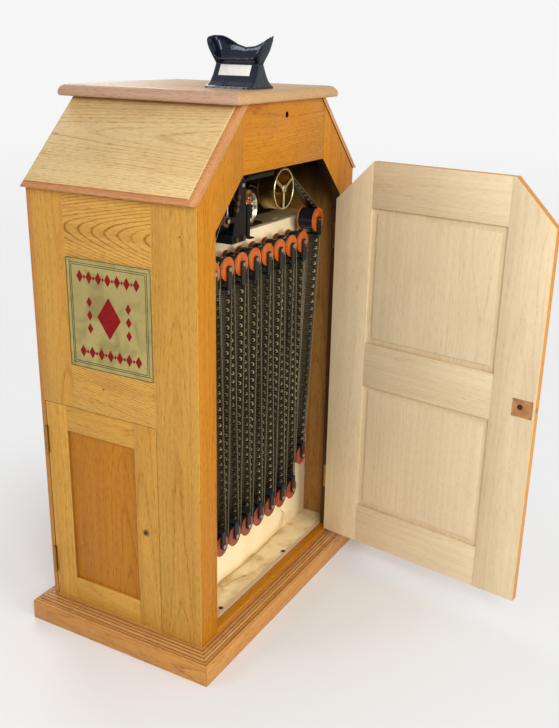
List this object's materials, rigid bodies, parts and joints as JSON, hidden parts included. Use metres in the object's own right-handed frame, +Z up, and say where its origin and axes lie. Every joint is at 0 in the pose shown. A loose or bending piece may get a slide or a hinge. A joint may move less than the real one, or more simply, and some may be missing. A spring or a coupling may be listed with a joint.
{
  "type": "coin-free peep-show film viewer cabinet",
  "caption": "Upright oak peep-show film viewer: doored cabinet with spooled film loop, lamp, slotted shutter and eyepiece hood on top.",
  "frame": {"origin": "centre of the cabinet body on the floor, on the underside of the middle batten", "axes": "+Z up; -Y is the front with the big door, -X the side with the small battery door and the name plate"},
  "size_m": [0.746, 0.9979, 1.32],
  "materials": {
    "oak_plinth": "varnished oak, deep tone",
    "batten_wood": "bare softwood",
    "cream_paint": "cream paint on board",
    "oak_gable": "varnished quarter-sawn oak",
    "oak_frame": "varnished oak",
    "oak_panel": "varnished oak",
    "oak_back": "varnished oak",
    "oak_hood": "varnished cathedral-grain oak",
    "oak_lid": "varnished oak",
    "shelf_wood": "bare board",
    "hinge_brass": "satin",
    "bracket_slate": "slate enamel",
    "axle_steel": "turned",
    "screw_steel": "bright",
    "film_base": "film strip",
    "black_casting": "black enamel",
    "roller_brown": "turned",
    "amber_glass": "amber",
    "lamp_brass": "polished",
    "sprocket_brass": "aged",
    "shutter_black": "matt black",
    "jar_dark": "moulded",
    "hood_gloss": "blue-black enamel",
    "lens_glass": "polished",
    "label_ivory": "glazed",
    "plate_brass": "aged",
    "wire_yellow": "covered wire",
    "pale_wood": "clear coat",
    "pale_panel": "clear coat",
    "lock_copper": "worn",
    "spool_ebonite": "black roller with orange flanges"
  },
  "bodies": {
    "root": {"plinth": "oak_plinth", "battens": "batten_wood", "cabinet_floor": "cream_paint", "gable_frame": "oak_gable", "side_frames": "oak_frame", "side_panels": "oak_panel", "back_wall": "oak_back", "hood_panels": "oak_hood", "top_board": "oak_lid", "backboard": "cream_paint", "mechanism_shelf": "shelf_wood", "fixed_hinge_leaves": "hinge_brass", "spool_brackets": "bracket_slate", "spool_axles": "axle_steel", "steel_fasteners": "screw_steel", "film_loop": "film_base", "mechanism_frame": "black_casting", "lamp_bulb": "amber_glass", "lamp_socket": "lamp_brass", "lamp_reflector": "lamp_brass", "motor_body": "black_casting", "battery_cells": "jar_dark", "eyepiece_hood": "hood_gloss", "eyepiece_lens": "lens_glass", "eyepiece_label": "label_ivory", "name_plate": "plate_brass", "lead_wire": "wire_yellow"},
    "main_door": {"main_door_frame": "pale_wood", "main_door_panels": "pale_panel", "main_door_hinge_leaves": "hinge_brass", "lock_case": "lock_copper"},
    "door_lock_cylinder": {"lock_cylinder": "screw_steel"},
    "door_lock_bolt": {"lock_bolt": "hinge_brass"},
    "side_door": {"side_door_frame": "oak_frame", "side_door_panel": "oak_panel", "side_door_hardware": "hinge_brass"},
    "side_door_cam": {"side_lock_cam": "screw_steel"},
    "sprocket": {"drive_sprocket": "sprocket_brass", "sprocket_shaft": "axle_steel"},
    "shutter": {"shutter_disc": "shutter_black", "motor_shaft": "axle_steel"},
    "low_guide": {"guide_roller_low": "roller_brown"},
    "top_guide": {"guide_roller_top": "roller_brown"},
    "top_1": {"top_spool_1": "spool_ebonite"},
    "top_2": {"top_spool_2": "spool_ebonite"},
    "top_3": {"top_spool_3": "spool_ebonite"},
    "top_4": {"top_spool_4": "spool_ebonite"},
    "top_5": {"top_spool_5": "spool_ebonite"},
    "top_6": {"top_spool_6": "spool_ebonite"},
    "top_7": {"top_spool_7": "spool_ebonite"},
    "top_8": {"top_spool_8": "spool_ebonite"},
    "bottom_1": {"bottom_spool_1": "spool_ebonite"},
    "bottom_2": {"bottom_spool_2": "spool_ebonite"},
    "bottom_3": {"bottom_spool_3": "spool_ebonite"},
    "bottom_4": {"bottom_spool_4": "spool_ebonite"},
    "bottom_5": {"bottom_spool_5": "spool_ebonite"},
    "bottom_6": {"bottom_spool_6": "spool_ebonite"},
    "bottom_7": {"bottom_spool_7": "spool_ebonite"},
    "bottom_8": {"bottom_spool_8": "spool_ebonite"},
    "corner": {"corner_spool": "spool_ebonite"}
  },
  "joints": [
    {"name": "main_door_swing", "type": "hinge", "parent": "root", "child": "main_door", "pos_m": [0.27175, -0.214, 0.5], "axis": [0, 0, 1], "range_deg": [-82, 83]},
    {"name": "door_lock_turn", "type": "hinge", "parent": "main_door", "child": "door_lock_cylinder", "pos_m": [0.1873, -0.71427, 0.559], "axis": [-0.9903, 0.1392, 0], "range_deg": [0, 90]},
    {"name": "door_bolt_slide", "type": "slide", "parent": "main_door", "child": "door_lock_bolt", "axis": [-0.1392, -0.9903, 0], "range_m": [0, 0.008]},
    {"name": "side_door_swing", "type": "hinge", "parent": "root", "child": "side_door", "pos_m": [-0.34, 0.19725, 0.3], "axis": [0, 0, -1], "range_deg": [0, 110]},
    {"name": "side_lock_turn", "type": "hinge", "parent": "side_door", "child": "side_door_cam", "pos_m": [-0.328, -0.0689, 0.305], "axis": [1, 0, 0], "range_deg": [0, 90]},
    {"name": "sprocket_spin", "type": "hinge", "parent": "root", "child": "sprocket", "pos_m": [0.0562, -0.1535, 1.0035], "axis": [0, 1, 0], "continuous": true},
    {"name": "shutter_spin", "type": "hinge", "parent": "root", "child": "shutter", "pos_m": [0.0012, -0.06, 1], "axis": [0, 0, 1], "continuous": true},
    {"name": "low_guide_spin", "type": "hinge", "parent": "root", "child": "low_guide", "pos_m": [-0.177, -0.1535, 0.968], "axis": [0, 1, 0], "continuous": true},
    {"name": "top_guide_spin", "type": "hinge", "parent": "root", "child": "top_guide", "pos_m": [-0.122, -0.1535, 1.03336], "axis": [0, 1, 0], "continuous": true},
    {"name": "top_1_spin", "type": "hinge", "parent": "root", "child": "top_1", "pos_m": [-0.22752, -0.1535, 0.8692], "axis": [0, 1, 0], "continuous": true},
    {"name": "top_2_spin", "type": "hinge", "parent": "root", "child": "top_2", "pos_m": [-0.17322, -0.1535, 0.8692], "axis": [0, 1, 0], "continuous": true},
    {"name": "top_3_spin", "type": "hinge", "parent": "root", "child": "top_3", "pos_m": [-0.11892, -0.1535, 0.8692], "axis": [0, 1, 0], "continuous": true},
    {"name": "top_4_spin", "type": "hinge", "parent": "root", "child": "top_4", "pos_m": [-0.06462, -0.1535, 0.8692], "axis": [0, 1, 0], "continuous": true},
    {"name": "top_5_spin", "type": "hinge", "parent": "root", "child": "top_5", "pos_m": [-0.01032, -0.1535, 0.8692], "axis": [0, 1, 0], "continuous": true},
    {"name": "top_6_spin", "type": "hinge", "parent": "root", "child": "top_6", "pos_m": [0.04398, -0.1535, 0.8692], "axis": [0, 1, 0], "continuous": true},
    {"name": "top_7_spin", "type": "hinge", "parent": "root", "child": "top_7", "pos_m": [0.09828, -0.1535, 0.8692], "axis": [0, 1, 0], "continuous": true},
    {"name": "top_8_spin", "type": "hinge", "parent": "root", "child": "top_8", "pos_m": [0.15258, -0.1535, 0.8692], "axis": [0, 1, 0], "continuous": true},
    {"name": "bottom_1_spin", "type": "hinge", "parent": "root", "child": "bottom_1", "pos_m": [-0.19752, -0.1535, 0.234], "axis": [0, 1, 0], "continuous": true},
    {"name": "bottom_2_spin", "type": "hinge", "parent": "root", "child": "bottom_2", "pos_m": [-0.14322, -0.1535, 0.234], "axis": [0, 1, 0], "continuous": true},
    {"name": "bottom_3_spin", "type": "hinge", "parent": "root", "child": "bottom_3", "pos_m": [-0.08892, -0.1535, 0.234], "axis": [0, 1, 0], "continuous": true},
    {"name": "bottom_4_spin", "type": "hinge", "parent": "root", "child": "bottom_4", "pos_m": [-0.03462, -0.1535, 0.234], "axis": [0, 1, 0], "continuous": true},
    {"name": "bottom_5_spin", "type": "hinge", "parent": "root", "child": "bottom_5", "pos_m": [0.01968, -0.1535, 0.234], "axis": [0, 1, 0], "continuous": true},
    {"name": "bottom_6_spin", "type": "hinge", "parent": "root", "child": "bottom_6", "pos_m": [0.07398, -0.1535, 0.234], "axis": [0, 1, 0], "continuous": true},
    {"name": "bottom_7_spin", "type": "hinge", "parent": "root", "child": "bottom_7", "pos_m": [0.12828, -0.1535, 0.234], "axis": [0, 1, 0], "continuous": true},
    {"name": "bottom_8_spin", "type": "hinge", "parent": "root", "child": "bottom_8", "pos_m": [0.176, -0.1535, 0.3109], "axis": [0, 1, 0], "continuous": true},
    {"name": "corner_spin", "type": "hinge", "parent": "root", "child": "corner", "pos_m": [0.2264, -0.1535, 0.9101], "axis": [0, 1, 0], "continuous": true}
  ],
  "couplings": [
    {"joint": "door_bolt_slide", "follows": "door_lock_turn", "m_per_rad": 0.00509},
    {"joint": "shutter_spin", "follows": "sprocket_spin", "ratio": 15},
    {"joint": "low_guide_spin", "follows": "sprocket_spin", "ratio": 4.32},
    {"joint": "top_guide_spin", "follows": "sprocket_spin", "ratio": 2.9265},
    {"joint": "top_1_spin", "follows": "sprocket_spin", "ratio": 1.9722},
    {"joint": "top_2_spin", "follows": "sprocket_spin", "ratio": -1.9722},
    {"joint": "top_3_spin", "follows": "sprocket_spin", "ratio": -1.9722},
    {"joint": "top_4_spin", "follows": "sprocket_spin", "ratio": -1.9722},
    {"joint": "top_5_spin", "follows": "sprocket_spin", "ratio": -1.9722},
    {"joint": "top_6_spin", "follows": "sprocket_spin", "ratio": -1.9722},
    {"joint": "top_7_spin", "follows": "sprocket_spin", "ratio": -1.9722},
    {"joint": "top_8_spin", "follows": "sprocket_spin", "ratio": -1.9722},
    {"joint": "bottom_1_spin", "follows": "sprocket_spin", "ratio": 1.9722},
    {"joint": "bottom_2_spin", "follows": "sprocket_spin", "ratio": 1.9722},
    {"joint": "bottom_3_spin", "follows": "sprocket_spin", "ratio": 1.9722},
    {"joint": "bottom_4_spin", "follows": "sprocket_spin", "ratio": 1.9722},
    {"joint": "bottom_5_spin", "follows": "sprocket_spin", "ratio": 1.9722},
    {"joint": "bottom_6_spin", "follows": "sprocket_spin", "ratio": 1.9722},
    {"joint": "bottom_7_spin", "follows": "sprocket_spin", "ratio": 1.9722},
    {"joint": "bottom_8_spin", "follows": "sprocket_spin", "ratio": 1.9722},
    {"joint": "corner_spin", "follows": "sprocket_spin", "ratio": 1.7117}
  ]
}
